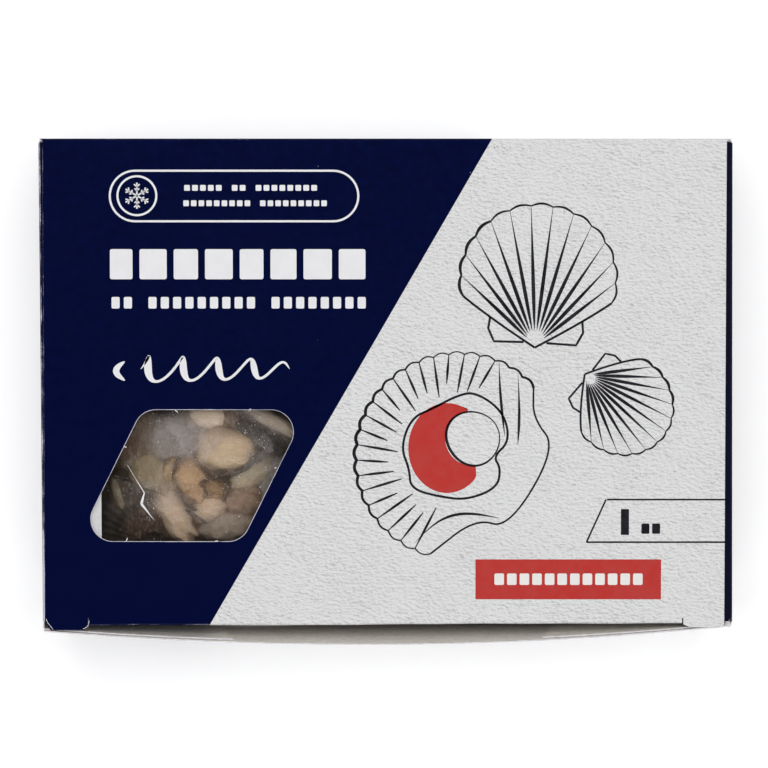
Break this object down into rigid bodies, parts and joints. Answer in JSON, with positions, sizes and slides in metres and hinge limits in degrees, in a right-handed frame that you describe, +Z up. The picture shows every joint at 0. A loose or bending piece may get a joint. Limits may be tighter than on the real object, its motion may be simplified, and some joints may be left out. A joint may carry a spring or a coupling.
{
  "type": "windowed carton of frozen scallops",
  "caption": "Closed folding carton of frozen scallops, lying flat, with a slanted window in its printed lid over a film bag of shellfish.",
  "frame": {"origin": "middle of the overall box at the level of the underside", "axes": "+Z up through the windowed lid, +X to the right along the long side, +Y towards the lid's hinge, -Y towards the tucked front wall"},
  "size_m": [0.2402, 0.1755, 0.06],
  "materials": {
    "printed_board": "satin coated folding board, navy and grey-white print outside, raw grey-brown inside",
    "frosted_film_bag": "clear film with frost over beige scallops and brown shells"
  },
  "bodies": {
    "root": {"carton": "printed_board", "scallop_bag": "frosted_film_bag"}
  },
  "joints": []
}
